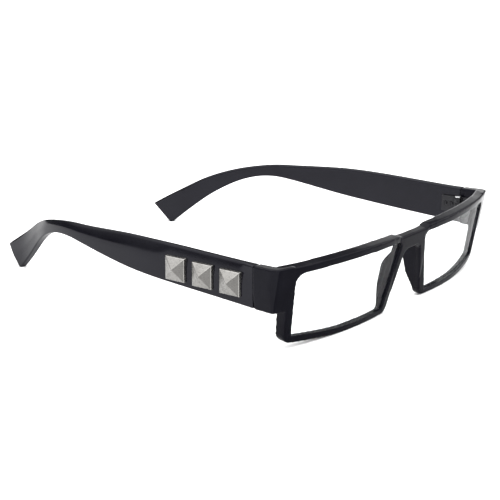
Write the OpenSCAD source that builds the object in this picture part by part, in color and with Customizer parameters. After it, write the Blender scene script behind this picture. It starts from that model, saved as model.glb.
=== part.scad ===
// Reading glasses: a moulded front with two lenses, and two folding temples with pyramid studs.
// +Z is up, the front faces -Y and the temples run to +Y. The origin is the centre of the
// underside of the whole object, which stands on its rims and its temple tips.
// Right and left are the wearer's: right is -X and left is +X.

/* [Front] */
// Width of the front across its end pieces
front_w = 137.4; // [134:0.2:142]
// Thickness of the front from its face to its back, along the brow
front_t = 3.5; // [3.2:0.1:4.2]
// Thickness of the rims at their lower edge
rim_low_t = 2.7; // [2.6:0.1:3.2]
// Lean of the front: its lower edge lies further back than its upper edge
front_tilt = 9.8; // [5:0.2:13]
// Radius of each rim's curve round the face, seen from above
front_curve_r = 135; // [120:1:180]
// Distance from the middle to where each rim's curve begins
curve_start = 21; // [18:0.5:24]
// Depth of the rims from the brow line to their lowest edge
rim_drop = 27.7; // [26:0.1:30]
// Rise of the brow over each lens above the line between its two ends
brow_rise = 0.9; // [0.4:0.1:1.8]
// Width of the rim along the top of a lens
rim_top_w = 2.5; // [2.1:0.1:3.2]
// Width of the rim along the bottom of a lens
rim_bottom_w = 2.3; // [1.7:0.1:2.8]
// Width of the rim beside the nose
rim_nose_w = 3.5; // [2.8:0.1:4]
// Width of the rim below the end piece
rim_side_w = 3; // [2.6:0.1:4]
// How far the rim's side lies inside the widest part of the front
rim_side_in = 5; // [4.6:0.1:5.6]
// Radius of the rim's outer lower corner
rim_corner_r = 3.4; // [2.4:0.1:4]
// Radius of the rim's lower corner beside the nose
rim_nose_r = 3.2; // [2:0.1:4]
// Radius of the arch under each end of the bridge
arch_r = 3; // [2:0.1:4]
// Radius of the bow of the rims' lower edge
low_bow_r = 120; // [80:5:160]
// Radius of a lens opening's upper corner beside the nose
lens_nose_r = 1.9; // [1.4:0.1:2.6]
// Radius of a lens opening's outer upper corner
lens_outer_r = 3.6; // [2:0.1:4.2]
// How far a lens opening's top lies lower at its outer corner than beside the nose
lens_top_drop = 0.6; // [0.1:0.1:1]
// Radius of a lens opening's lower corners
lens_low_r = 0.9; // [0.6:0.1:1.4]

/* [Bridge and nose pads] */
// Gap between the rims just under the bridge
nose_gap = 9.8; // [9.4:0.2:12]
// Gap between the rims' lower corners
nose_gap_low = 23; // [21:0.2:26]
// Height of the bridge in its middle
bridge_h = 4.9; // [4:0.1:6]
// Dip of the bridge's top below the brow line
bridge_dip = 1.75; // [1.4:0.05:2.4]
// Thickness of the bridge in its middle
bridge_t = 3; // [2.6:0.1:3.2]
// Thickness of a nose pad at its rear edge
pad_t = 1.7; // [1.4:0.1:2]
// How far a nose pad stands out behind the front's face
pad_reach = 6.5; // [5.8:0.1:7.4]
// Height of a nose pad
pad_h = 18.5; // [16:0.5:19]
// How far a nose pad leans towards the nose at its rear edge
pad_in = 1; // [0.5:0.1:1.4]

/* [Lenses] */
// Thickness of a lens
lens_t = 1.5; // [1.2:0.1:1.6]
// Distance from the front's face to a lens
lens_set = 0.6; // [0.5:0.05:0.7]
// Depth of a lens edge in its groove
lens_bite = 0.6; // [0.4:0.05:0.8]
// Clearance round a lens in its groove
lens_gap = 0.05; // [0.02:0.01:0.08]

/* [End pieces] */
// Height of an end piece
end_h = 13.5; // [12.5:0.1:14.5]
// Thickness of an end piece and of a temple at the seam
end_t = 3.4; // [3.2:0.1:4]
// Radius of the end piece's front corner, seen from above
end_corner_r = 2.8; // [2:0.1:3.5]
// How far the end piece's outer face leans in at its lower edge
end_lean = 1.2; // [0.6:0.1:2]
// Radius of the bulge between the face's upright and leaning parts
end_bulge_r = 16; // [10:1:20]
// How far the seam lies inside the widest part of the front
seam_in = 0.6; // [0.3:0.1:1]
// How far the end piece's top lies under the brow line
end_below = 0.4; // [0.2:0.05:0.8]
// Clearance between the rim's back and the hinge
hinge_room = 0.25; // [0.2:0.05:0.6]

/* [Temples] */
// Height of a temple at the seam
temple_h = 13.4; // [12.8:0.1:14.4]
// Height of a temple midway along its straight part
temple_mid_h = 11.2; // [10:0.1:12.5]
// Height of a temple at its narrowest, over the ear
temple_bend_h = 4.4; // [3.6:0.1:5]
// Height of a temple halfway down its paddle
paddle_h = 7.1; // [6.5:0.1:9]
// Width of a temple at the end of its paddle
tip_w = 11; // [9:0.1:12.5]
// How far a temple's top lies under the brow line
temple_below = 0.25; // [0.15:0.05:0.5]
// Thickness of a temple at its tip
tip_t = 2.4; // [2:0.1:3]
// Distance from the seam to the ear bend's corner, along the temple
bend_at = 96.5; // [90:0.5:102]
// Radius of the ear bend along the middle of the temple
bend_r = 55; // [40:1:65]
// Length from the ear bend's corner to the tip
paddle_len = 37.2; // [34:0.2:39]
// Rise of the straight part's middle line towards the ear
temple_rise = 2.95; // [1.5:0.05:3.5]
// Slope of the paddle below the horizontal
paddle_drop = 35.2; // [32:0.2:37]
// Inward lean of the straight part, seen from above
temple_lean = 1.1; // [0.4:0.1:2]
// How far the tip lies inside the seam, seen from above
tip_in = 24.8; // [20:0.2:27]
// Gap between a temple and its end piece when open
seam_gap = 0.15; // [0.1:0.05:0.3]

/* [Studs] */
// Side of a square stud
stud_w = 8; // [6.5:0.1:8.6]
// Height of a stud's point above its rim
stud_h = 2; // [1.4:0.1:3]
// Height of a stud's straight rim
stud_rim = 1.1; // [0.4:0.05:1.4]
// Distance between the middles of two studs
stud_pitch = 10.7; // [9.5:0.1:11.5]
// Distance from the seam to the middle of the first stud
stud_at = 8.3; // [7.6:0.1:9]
// Distance from the temple's top edge to the middle of a stud
stud_below = 6.9; // [6.5:0.1:7.3]
// Number of studs on each temple
stud_count = 3; // [3:1:3]
// Depth of the pocket that a stud sits in
stud_sink = 0.3; // [0.2:0.05:0.5]
// Radius of a stud's peg
peg_r = 0.8; // [0.6:0.05:1]
// Length of a stud's peg below the pocket
peg_len = 1.5; // [1:0.1:1.8]
// Clearance round a stud and its peg
stud_gap = 0.05; // [0.02:0.01:0.1]

/* [Hinges] */
// Radius of a hinge knuckle
knuckle_r = 1.4; // [1.2:0.05:1.5]
// Height of a hinge over its three knuckles
hinge_h = 6; // [5.4:0.1:7]
// Distance from the end piece's top to the middle of a hinge
hinge_below = 6.2; // [6:0.1:7]
// Height of the temple leaf's middle knuckle
knuckle_mid_h = 1.9; // [1.6:0.1:2.2]
// Thickness of a hinge leaf
leaf_t = 0.8; // [0.6:0.05:0.9]
// Length of the front leaf from the pin
front_leaf_len = 4.7; // [4.6:0.1:5.2]
// Length of the temple leaf from the pin
temple_leaf_len = 7.2; // [6.8:0.1:7.6]
// Radius of the hinge screw's shank
screw_r = 0.7; // [0.6:0.05:0.8]
// Radius of the hinge screw's head
screw_head_r = 1.15; // [1:0.05:1.3]
// Height of the hinge screw's head
screw_head_h = 0.6; // [0.4:0.05:0.8]
// Running clearance round the hinge screw
pin_gap = 0.03; // [0.01:0.01:0.06]
// Gap between two knuckles along the pin
knuckle_gap = 0.08; // [0.04:0.02:0.12]
// Gap between a knuckle and what turns past it
swing_gap = 0.12; // [0.1:0.02:0.2]
// Radius of a leaf screw's shank
leaf_screw_r = 0.45; // [0.35:0.05:0.5]
// Radius of a leaf screw's head
leaf_screw_head_r = 0.85; // [0.7:0.05:0.9]
// Height of a leaf screw's head
leaf_screw_head_h = 0.4; // [0.3:0.05:0.5]
// Distance from a leaf's end to its nearest screw
leaf_screw_y = 1.4; // [1.2:0.05:1.6]
// Distance between the two screws of the temple leaf
leaf_screw_pitch = 2.5; // [2.2:0.1:2.8]
// Length of a leaf screw below its head
leaf_screw_len = 2.6; // [2:0.1:3]

/* [Hidden] */
$fn = 48;

plastic = "#17171c";
metal = "#b4b2ae";
steel = "#8d8f93";
clear = "#dfe9ee";

RIGHT = -1;
LEFT = 1;

// Steps of a rounded corner and of one span of a curve
corner_steps = 6;
span_steps = 8;
// Length by which a cutting body overshoots what it cuts
over = 1;
// How much the plan and outline prisms overshoot the front
reach = 60;

// Depth cut off the lowest rim edge so that the part rests on a flat
rest_cut = 0.25;
// Height of the brow line over the ground
brow_z = rim_drop * cos(front_tilt) - rest_cut;
// The seam's half width, between end piece and temple
seam_half_w = front_w / 2 - seam_in;
// Inner face of the end piece and of the temple at the hinge
inner_x = seam_half_w - end_t;
// Top of the end piece, a little under the temple's top edge
end_top_z = brow_z - end_below;
temple_top_z = brow_z - temple_below;
// The rim's outer side stands under the end piece, whose root lies inside the rim
side_x = front_w / 2 - rim_side_in;
root_x = side_x - 2;
root_v = face_v(root_x);
root_back_v = root_v + front_t + over;
// The seam: the end piece reaches back far enough for the front leaf behind the leaning rim
hinge_drop = end_below + hinge_below + hinge_h / 2;
end_reach = root_back_v / cos(front_tilt) + hinge_drop * tan(front_tilt) + hinge_room + front_leaf_len;
// Distance of the pin from the face that the leaves lie on
pin_off = knuckle_r + swing_gap;
hinge_x = inner_x - pin_off;
hinge_z = end_top_z - hinge_below;
function unit(v) = v / norm(v);
function turn(a) = a > 180 ? a - 360 : a < -180 ? a + 360 : a;

// Arc that rounds the corner b between the points a and c, limited by its walls
function corner(a, b, c, r) =
    let (u = unit(a - b), v = unit(c - b), half = acos(u * v) / 2)
    let (d = min(r / tan(half), 0.48 * min(norm(a - b), norm(c - b))), rr = d * tan(half))
    let (m = b + unit(u + v) * rr / sin(half), p = b + u * d - m, q = b + v * d - m)
    let (a0 = atan2(p.y, p.x), sweep = turn(atan2(q.y, q.x) - a0))
    [for (i = [0:corner_steps]) m + rr * [cos(a0 + sweep * i / corner_steps),
                                          sin(a0 + sweep * i / corner_steps)]];

// Path through points given as [x, y, corner radius], whose two ends stay sharp
function rounded(p) = [
    for (i = [0:len(p) - 1])
        let (here = [p[i].x, p[i].y], r = len(p[i]) > 2 ? p[i].z : 0)
        if (r > 0 && i > 0 && i < len(p) - 1)
            each corner([p[i - 1].x, p[i - 1].y], here, [p[i + 1].x, p[i + 1].y], r)
        else
            here
];

// The same, for a closed outline
function rounded_loop(p) =
    let (n = len(p))
    [for (i = [0:n - 1])
        let (a = p[(i + n - 1) % n], b = p[i], c = p[(i + 1) % n])
        each (b.z > 0 ? corner([a.x, a.y], [b.x, b.y], [c.x, c.y], b.z) : [[b.x, b.y]])];

// Shallow bow between two points, which rises by h in its middle
function bow(a, b, h) = [
    for (i = [1:span_steps - 1])
        let (t = i / span_steps)
        [a.x + (b.x - a.x) * t, a.y + (b.y - a.y) * t + 4 * h * t * (1 - t)]
];

// Smooth curve through points, which leaves the first one along the direction d0
function heading(p, i, d0) =
    i == 0 ? unit(d0) : i == len(p) - 1 ? unit(p[i] - p[i - 1]) : unit(p[i + 1] - p[i - 1]);
function between(a, b, u, v, t) =
    let (l = norm(b - a))
    (2 * t * t * t - 3 * t * t + 1) * a + (t * t * t - 2 * t * t + t) * l * u
    + (3 * t * t - 2 * t * t * t) * b + (t * t * t - t * t) * l * v;
function curve(p, d0) = concat(
    [for (i = [0:len(p) - 2]) for (j = [0:span_steps - 1])
        between(p[i], p[i + 1], heading(p, i, d0), heading(p, i + 1, d0), j / span_steps)],
    [p[len(p) - 1]]);

function flipped(p) = [for (i = [len(p) - 1:-1:0]) [-p[i].x, p[i].y]];

// Depth of the front's face behind the tangent at its curve's start
function face_v(x) = front_curve_r - sqrt(pow(front_curve_r, 2) - pow(max(0, x - curve_start), 2));

// The brow's ends, beside the bridge and at the end piece
brow_in = [11, -1.1];
brow_out = [57, -1.5];

// Temple in side view: a middle line with a straight part, an ear bend and a straight paddle

bend_angle = temple_rise + paddle_drop;
bend_cut = bend_r * tan(bend_angle / 2);
bend_arc = bend_r * bend_angle * PI / 180;
straight_len = bend_at - bend_cut;
temple_len = straight_len + bend_arc + paddle_len - bend_cut;
temple_y = end_reach;
start = [temple_y, temple_top_z - temple_h / 2];

// Slope and place of the middle line at the distance s from the seam
function slope(s) = temple_rise - bend_angle * min(1, max(0, (s - straight_len) / bend_arc));
function middle(s) =
    let (a = temple_rise, b = slope(s), s1 = min(s, straight_len))
    let (s2 = max(0, s - straight_len - bend_arc))
    start + s1 * [cos(a), sin(a)] + bend_r * [sin(a) - sin(b), cos(b) - cos(a)] + s2 * [cos(b), sin(b)];

narrow_at = bend_at * 0.896;
half_heights = curve([
    [0, temple_h / 2], [bend_at * 0.49, temple_mid_h / 2], [narrow_at, temple_bend_h / 2],
    [narrow_at * 0.46 + temple_len * 0.54, paddle_h / 2], [temple_len, tip_w / 2]
], [1, -0.03]);

// Edges of the temple in side view: k is 1 for the top edge and -1 for the lower one
function edge(k) = [
    for (h = half_heights)
        let (a = slope(h.x))
        middle(h.x) + k * h.y * [-sin(a), cos(a)]
];

// The object's rearmost and foremost lines, which centre it on the origin
tip_y = edge(1)[len(half_heights) - 1].x;
face_y = -(brow_in.y + brow_rise * 0.68) * sin(front_tilt);
shift_y = -(tip_y + face_y) / 2;

// Mirrors what stands on the wearer's left to the side asked for
module on(side) mirror([side < 0 ? 1 : 0, 0, 0]) children();

// Places the object's own frame, whose Y is measured from the front's face
module placed() translate([0, shift_y, 0]) children();

// Stands a shape drawn in the front's plane (x across, y up) on the leaning front
module leaning() translate([0, 0, brow_z]) rotate([front_tilt, 0, 0]) children();

// Extrudes a shape drawn in the front's plane from depth v0 to depth v1
module through_front(v0, v1)
    translate([0, v1, 0]) rotate([90, 0, 0]) linear_extrude(v1 - v0) children();

// Extrudes a shape drawn in plan (x across, y back) up along the front's plane
module up_front() translate([0, 0, -reach / 2 - rim_drop / 2]) linear_extrude(reach) children();

// Extrudes a shape drawn in side view (y back, z up) across from x0 to x1
module across(x0, x1) translate([x0, 0, 0]) rotate([90, 0, 90]) linear_extrude(x1 - x0) children();

// Rim: outlines in the front's plane, measured from the brow line

side_low_x = side_x - 1.6;
// The rim's lower edge rises a little on both sides of here
low_mid_x = 38;
low_side_w = -rim_drop + 1.2;
low_nose_w = -rim_drop + 0.4;
under_bridge = -bridge_dip - bridge_h;
brow_end = [side_x + 1, brow_out.y - 0.45];

rim_half = concat(
    rounded([[0, -bridge_dip], [brow_in.x * 0.78, -bridge_dip - 0.1, 8],
             [brow_in.x - 0.5, brow_in.y, 8], brow_in]),
    bow(brow_in, brow_out, brow_rise),
    rounded([brow_out, brow_end, [side_x, -end_h / 2, 6], [side_low_x, low_side_w, rim_corner_r],
             [low_mid_x, -rim_drop, low_bow_r], [nose_gap_low / 2, low_nose_w, rim_nose_r],
             [nose_gap / 2, under_bridge, arch_r], [0, under_bridge]]));

// The rim beside the nose runs along this line, from its low end to the bridge
nose_low = [nose_gap_low / 2, low_nose_w];
nose_high = [nose_gap / 2, under_bridge];
nose_dir = unit(nose_high - nose_low);
nose_lean = atan2(-nose_dir.x, nose_dir.y);
// The same line on the lens side
function nose_edge(w) = nose_low.x + (w - nose_low.y) * nose_dir.x / nose_dir.y + rim_nose_w / cos(nose_lean);

// Corners of the lens opening
lens_top_w = brow_in.y - rim_top_w;
lens_low_w = -rim_drop + rim_bottom_w;
lens_top_in = [nose_edge(lens_top_w), lens_top_w];
lens_top_out = [side_x - rim_side_w, lens_top_w - lens_top_drop];
lens_low_in = [nose_edge(lens_low_w), lens_low_w];
lens_low_out = [side_low_x - rim_side_w, low_side_w + rim_bottom_w];

// The lens opening, grown by g on every side
module lens_outline(g) {
    p = lens_top_in + [-g, g];
    q = lens_top_out + [g, g];
    top = [for (v = bow(q, p, brow_rise + 0.15)) [v.x, v.y, 0]];
    polygon(rounded_loop(concat(
        [[lens_low_in.x - g, lens_low_in.y - g, lens_low_r + g], [low_mid_x, lens_low_w - g, low_bow_r],
         [lens_low_out.x + g, lens_low_out.y - g, lens_low_r + g], [q.x, q.y, lens_outer_r + g]],
        top, [[p.x, p.y, lens_nose_r + g]])));
}

module rim_outline() difference() {
    polygon(concat(rim_half, flipped(rim_half)));
    for (side = [RIGHT, LEFT]) on(side) lens_outline(0);
}

// Plan of all that lies deeper than v behind the face, from x0 outwards
module behind_face(v, x0) intersection() {
    translate([curve_start, front_curve_r]) circle(front_curve_r - v, $fn = 360);
    translate([x0, -over]) square([2 * reach, reach]);
}

// The rims' plate, whose back comes nearer to the face downwards
module rim_plate() for (side = [RIGHT, LEFT]) on(side) difference() {
    up_front() behind_face(0, rim_x0);
    rotate([-atan((front_t - rim_low_t) / rim_drop), 0, 0]) up_front() behind_face(front_t, 0);
}
rim_x0 = brow_in.x - 2;

// The bridge's face lies a little behind the rims' face
bridge_set = 0.35;
module bridge_plan() {
    back = bridge_set + front_t - 0.2;
    x = rim_x0 + 0.4;
    half = [[0, bridge_set], [x, bridge_set], [x, back], [x - 2, back, 3],
            [x / 2, bridge_set + bridge_t, 4], [0, bridge_set + bridge_t]];
    p = rounded(half);
    polygon(concat(p, flipped(p)));
}

module rims() intersection() {
    through_front(-over, reach / 2) rim_outline();
    union() {
        rim_plate();
        up_front() bridge_plan();
    }
}

// Nose pad: a half-moon fin on the rim beside the nose
module nose_pad() {
    low = nose_low.y + 1.8;
    half_t = front_t / 2;
    fin = [[0.2, half_t / 2, 0], [-pad_in, pad_reach + over, 0], [pad_t - pad_in, pad_reach + over, 0],
           [rim_nose_w - 0.2, half_t, 0]];
    intersection() {
        translate([nose_low.x, 0, nose_low.y]) rotate([0, -nose_lean, 0])
            linear_extrude(norm(nose_high - nose_low)) polygon([for (p = fin) [p.x, p.y]]);
        across(0, reach)
            polygon(rounded_loop([[half_t / 2, low, 0], [half_t, low, 0], [rim_low_t + 0.4, low + 0.6, 2],
                                  [pad_reach - 0.9, low + pad_h * 0.32, 8],
                                  [pad_reach + 0.4, low + pad_h * 0.7, 5], [front_t, low + pad_h, 3],
                                  [half_t / 2, low + pad_h, 0]]));
    }
}

// End piece: a level block behind the leaning face, from the rim back to the seam
module end_piece() {
    half_w = front_w / 2;
    // Its face goes on from the rim's face as a flat, a little less steep than the curve
    corner_v = root_v + (half_w - root_x) * tan(asin((root_x - curve_start) / front_curve_r) - 0.5);
    plan = [[root_x, root_v, 0], [half_w, corner_v, end_corner_r],
            [seam_half_w, end_reach + over, 0], [inner_x, end_reach + over, 0],
            [inner_x, root_back_v, 0], [root_x, root_v + front_t, 0]];
    lean_at = end_top_z - end_h * 0.36;
    low_z = end_top_z - end_h;
    intersection() {
        leaning() up_front() polygon(rounded_loop(plan));
        across(root_x - over, half_w + over)
            polygon(rounded_loop([[0, end_top_z + 0.1, 0], [end_reach - seam_gap, end_top_z, 0.5],
                                  [end_reach - seam_gap, low_z, 0.5], [end_reach - 5, low_z - 0.25, 8],
                                  [0, low_z - 1.2, 0]]));
        translate([0, reach, 0]) rotate([90, 0, 0]) linear_extrude(reach + over)
            polygon(rounded_loop([[root_x - over, low_z - over, 0], [half_w - end_lean, low_z - over, 0],
                                  [half_w, lean_at, end_bulge_r], [half_w, end_top_z + over, 0],
                                  [root_x - over, end_top_z + over, 0]]));
    }
}

module lens_body(g) leaning() intersection() {
    through_front(0, reach / 2) lens_outline(lens_bite + g - lens_gap);
    up_front() difference() {
        behind_face(lens_set - g, nose_gap / 2);
        behind_face(lens_set + lens_t + g, 0);
    }
}

module front_frame() color(plastic) placed() difference() {
    intersection() {
        union() {
            leaning() rims();
            for (side = [RIGHT, LEFT]) on(side) {
                end_piece();
                leaning() nose_pad();
            }
        }
        translate([-reach * 2, -reach, 0]) cube([reach * 4, reach * 2, reach]);
    }
    for (side = [RIGHT, LEFT]) on(side) {
        lens_body(lens_gap);
        at_front_leaf_screws() leaf_screw_hole();
    }
}

module lens(side) color(clear, 0.4) placed() on(side) lens_body(0);

// Temple

// Outer face in plan: straight past the studs, then round the head and flat again at the tip
straight_y = temple_y + stud_at + stud_pitch * (stud_count - 1) + stud_w;
lean_dir = [-sin(temple_lean), cos(temple_lean)];
function outer_at(y) = seam_half_w - (y - temple_y) * tan(temple_lean);
wrap_start = [outer_at(straight_y), straight_y];
// Points of the wrap round the head, as shares of the temple's reach and of its toe-in
function wrap(reach_share, in_share) =
    [seam_half_w - tip_in * in_share, temple_y + (tip_y - temple_y) * reach_share];
outer_path = concat([[seam_half_w, temple_y]], curve([
    wrap_start, wrap(0.475, 0.115), wrap(0.629, 0.26), wrap(0.744, 0.475), wrap(0.844, 0.755),
    wrap(0.92, 0.915), wrap(1.012, 1.01)
], lean_dir));

function thickness(y) = end_t + (tip_t - end_t) * (y - temple_y) / (tip_y - temple_y);
inner_path = [
    for (i = [0:len(outer_path) - 1])
        let (p = outer_path[i], q = outer_path[min(i + 1, len(outer_path) - 1)])
        let (d = i < len(outer_path) - 1 ? unit(q - p) : unit(p - outer_path[i - 1]))
        p + thickness(p.y) * [-d.y, d.x]
];

module temple_blank() intersection() {
    across(0, front_w) polygon(rounded_loop(concat(
        [for (p = edge(1)) [p.x, p.y, 0]],
        [let (e = edge(-1)) for (i = [len(e) - 1:-1:0]) [e[i].x, e[i].y, 0]])));
    linear_extrude(reach) polygon(concat(
        outer_path, [for (i = [len(inner_path) - 1:-1:0]) inner_path[i]]));
}

module temple(side) color(plastic) placed() on(side) difference() {
    temple_blank();
    // The flat seat of the hinge leaf
    translate([0, temple_y - over, 0]) cube([inner_x, temple_leaf_len + 2 * over, reach]);
    // The seam, the stud pockets and the screw holes
    cube([front_w, temple_y, reach]);
    for (i = [0:stud_count - 1]) at_stud(i) stud_pocket();
    at_temple_leaf_screws() leaf_screw_hole();
}

// Studs

// Puts a stud's own frame, whose Z points out of the temple, on the temple's outer face
module at_stud(i) {
    s = stud_at + i * stud_pitch;
    translate([seam_half_w, temple_y, temple_top_z - stud_below]) rotate([0, 0, temple_lean])
        translate([0, s, s * sin(temple_rise) * 0.5]) rotate([0, 90, 0]) children();
}

module stud_pocket() {
    w = stud_w + 2 * stud_gap;
    translate([-w / 2, -w / 2, -stud_sink]) cube([w, w, stud_sink + over]);
    translate([0, 0, -stud_sink - peg_len - stud_gap]) cylinder(r = peg_r + stud_gap, h = peg_len + over);
}

module stud_shape() {
    h = stud_rim + stud_h;
    side_view = [[-stud_w / 2, 0], [stud_w / 2, 0], [stud_w / 2, stud_rim], [0, h], [-stud_w / 2, stud_rim]];
    translate([0, 0, -stud_sink]) intersection() {
        translate([0, stud_w / 2, 0]) rotate([90, 0, 0]) linear_extrude(stud_w) polygon(side_view);
        translate([-stud_w / 2, 0, 0]) rotate([90, 0, 90]) linear_extrude(stud_w) polygon(side_view);
    }
    translate([0, 0, -stud_sink - peg_len]) cylinder(r = peg_r, h = peg_len + stud_rim / 2);
}

module stud(side, i) color(metal) placed() on(side) at_stud(i) stud_shape();

// Hinges: a frame whose origin is the pin's middle, X outwards and Y back

module at_hinge() translate([hinge_x, end_reach, hinge_z]) children();

// Places of a leaf's screws, with Z pointing into the plastic
module at_front_leaf_screws() at_hinge()
    for (z = [-1, 1]) translate([pin_off - leaf_t, leaf_screw_y - front_leaf_len, z * hinge_h * 0.3])
        rotate([0, 90, 0]) children();
module at_temple_leaf_screws() at_hinge()
    for (y = [temple_leaf_len - leaf_screw_y, temple_leaf_len - leaf_screw_y - leaf_screw_pitch])
        translate([pin_off - leaf_t, y, 0]) rotate([0, 90, 0]) children();

module leaf_screw_hole() translate([0, 0, -over])
    cylinder(r = leaf_screw_r + pin_gap, h = leaf_screw_len + over + swing_gap, $fn = 24);

// Straight slot across a screw's head of radius r, above the height z
slot_share = 0.13;
module slot(r, z) translate([-2 * r, -slot_share * r, z]) cube([4 * r, 2 * slot_share * r, over]);

module leaf_screw_shape() {
    cylinder(r = leaf_screw_r, h = leaf_screw_len, $fn = 24);
    difference() {
        translate([0, 0, -leaf_screw_head_h])
            cylinder(r = leaf_screw_head_r, h = leaf_screw_head_h, $fn = 24);
        slot(leaf_screw_head_r, -leaf_screw_head_h / 2 - over);
    }
}

side_knuckle_h = (hinge_h - knuckle_mid_h) / 2 - knuckle_gap;

// A plate on the seat, from y0 to y1, and the webs that carry knuckles between the heights in spans
module leaf_plate(y0, y1) translate([pin_off - leaf_t, y0, -hinge_h / 2]) cube([leaf_t, y1 - y0, hinge_h]);

module knuckle(z, h, toward) {
    translate([0, 0, z]) cylinder(r = knuckle_r, h = h);
    translate([pin_off - leaf_t, toward > 0 ? 0 : -knuckle_r - over, z])
        cube([leaf_t, knuckle_r + over - (toward > 0 ? 0 : seam_gap), h]);
}

module pin_bore() translate([0, 0, -hinge_h]) cylinder(r = screw_r + pin_gap, h = 2 * hinge_h);

module front_leaf(side) color(steel) placed() on(side) difference() {
    at_hinge() difference() {
        union() {
            leaf_plate(-front_leaf_len, -pin_off);
            knuckle(-hinge_h / 2, side_knuckle_h, -1);
            knuckle(hinge_h / 2 - side_knuckle_h, side_knuckle_h, -1);
        }
        pin_bore();
    }
    at_front_leaf_screws() leaf_screw_hole();
}

module temple_leaf(side) color(steel) placed() on(side) difference() {
    at_hinge() difference() {
        union() {
            leaf_plate(pin_off, temple_leaf_len);
            knuckle(-knuckle_mid_h / 2, knuckle_mid_h, 1);
        }
        pin_bore();
    }
    at_temple_leaf_screws() leaf_screw_hole();
}

module hinge_screw(side) color(metal) placed() on(side) at_hinge() {
    translate([0, 0, -hinge_h / 2]) cylinder(r = screw_r, h = hinge_h);
    difference() {
        translate([0, 0, hinge_h / 2]) cylinder(r = screw_head_r, h = screw_head_h);
        slot(screw_head_r, (hinge_h + screw_head_h) / 2);
    }
}

module front_leaf_screws(side) color(steel) placed() on(side) at_front_leaf_screws() leaf_screw_shape();
module temple_leaf_screws(side) color(steel) placed() on(side) at_temple_leaf_screws() leaf_screw_shape();

front_frame();
lens(RIGHT);  // lens_right
lens(LEFT);  // lens_left
temple(RIGHT);  // temple_right
temple(LEFT);  // temple_left
stud(RIGHT, 0);  // stud_right_front
stud(RIGHT, 1);  // stud_right_middle
stud(RIGHT, 2);  // stud_right_rear
stud(LEFT, 0);  // stud_left_front
stud(LEFT, 1);  // stud_left_middle
stud(LEFT, 2);  // stud_left_rear
front_leaf(RIGHT);  // hinge_front_leaf_right
front_leaf(LEFT);  // hinge_front_leaf_left
temple_leaf(RIGHT);  // hinge_temple_leaf_right
temple_leaf(LEFT);  // hinge_temple_leaf_left
hinge_screw(RIGHT);  // hinge_screw_right
hinge_screw(LEFT);  // hinge_screw_left
front_leaf_screws(RIGHT);  // front_leaf_screws_right
front_leaf_screws(LEFT);  // front_leaf_screws_left
temple_leaf_screws(RIGHT);  // temple_leaf_screws_right
temple_leaf_screws(LEFT);  // temple_leaf_screws_left
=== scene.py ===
"""Dresses the packed reading glasses in moulded plastic, clear lenses and metal, and sets a pale stage.

All sizes are in metres, in the frame's own axes: +Z up, the front faces -Y, the temples run to +Y and +X is
the wearer's left. The frame is loaded before the classes, so their defaults can come from it.
"""

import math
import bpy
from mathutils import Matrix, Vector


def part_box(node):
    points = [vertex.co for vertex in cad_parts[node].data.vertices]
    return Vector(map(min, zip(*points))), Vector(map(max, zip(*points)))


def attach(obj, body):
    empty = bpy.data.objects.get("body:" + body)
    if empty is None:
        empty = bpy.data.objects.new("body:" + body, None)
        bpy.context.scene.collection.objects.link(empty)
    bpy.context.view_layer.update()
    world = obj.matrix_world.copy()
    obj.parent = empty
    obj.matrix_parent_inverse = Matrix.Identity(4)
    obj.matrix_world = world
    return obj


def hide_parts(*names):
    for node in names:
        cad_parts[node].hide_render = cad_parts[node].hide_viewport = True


bl_info = {
    "name": "Reading glasses",
    "version": (1, 0, 0),
    "blender": (4, 5, 0),
    "location": "3D View > Sidebar > Glasses",
    "description": "Dresses a pair of studded reading glasses in moulded plastic, metal and clear lenses",
    "category": "Object",
}

import bmesh
import bpy
from bpy.props import FloatProperty, FloatVectorProperty, IntProperty, PointerProperty
from bpy.types import Operator, Panel, PropertyGroup
from mathutils import Matrix, Vector
from mathutils.kdtree import KDTree

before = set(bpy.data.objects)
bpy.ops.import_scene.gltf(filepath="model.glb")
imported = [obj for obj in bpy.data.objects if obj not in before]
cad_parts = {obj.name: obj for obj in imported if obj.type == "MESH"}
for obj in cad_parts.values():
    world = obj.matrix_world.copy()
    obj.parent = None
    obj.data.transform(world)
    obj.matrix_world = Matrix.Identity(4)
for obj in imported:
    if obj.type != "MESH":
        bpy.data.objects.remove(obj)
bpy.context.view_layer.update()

MM = 0.001
RIGHT, LEFT = -1, 1
SIDES = {RIGHT: "right", LEFT: "left"}
STUD_PLACES = ("front", "middle", "rear")

# Points nearer than this are one
WELD = 0.001 * MM
# Width of the worn edges of hinges and screws
HINGE_EDGE = 0.06 * MM
# How much the plastic bends light
PLASTIC_IOR = 1.49
# How fast a lens's reflection grows towards grazing angles
GRAZING_POWER = 5
# Material number of each of a stud's lower, rear, upper and front facets: 0 is plain nickel, 1 is nickel
# darkened as painted shade, 2 is nickel darkened further as painted deep shade
FACET_PAINTED_SHADES = (1, 1, 0, 2)
FLOOR_HALF_WIDTH = 4.0
FILM_WIDTH_MM = 36


# Sizes and colours


def length(name, description, mm, low=0.0, high=200.0):
    """A length in millimetres, kept in metres."""
    return FloatProperty(
        name=name,
        description=description,
        default=mm * MM,
        min=low * MM,
        max=high * MM,
        unit="LENGTH",
        precision=5,
    )


def angle(name, description, degrees):
    return FloatProperty(name=name, description=description, default=math.radians(degrees), unit="ROTATION")


def factor(name, description, value):
    return FloatProperty(
        name=name, description=description, default=value, min=0.0, max=1.0, subtype="FACTOR"
    )


def light(name, description, value, unit="NONE"):
    return FloatProperty(name=name, description=description, default=value, min=0.0, unit=unit)


def colour(name, description, rgb):
    return FloatVectorProperty(
        name=name, description=description, default=rgb, size=3, min=0.0, max=1.0, subtype="COLOR"
    )


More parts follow.
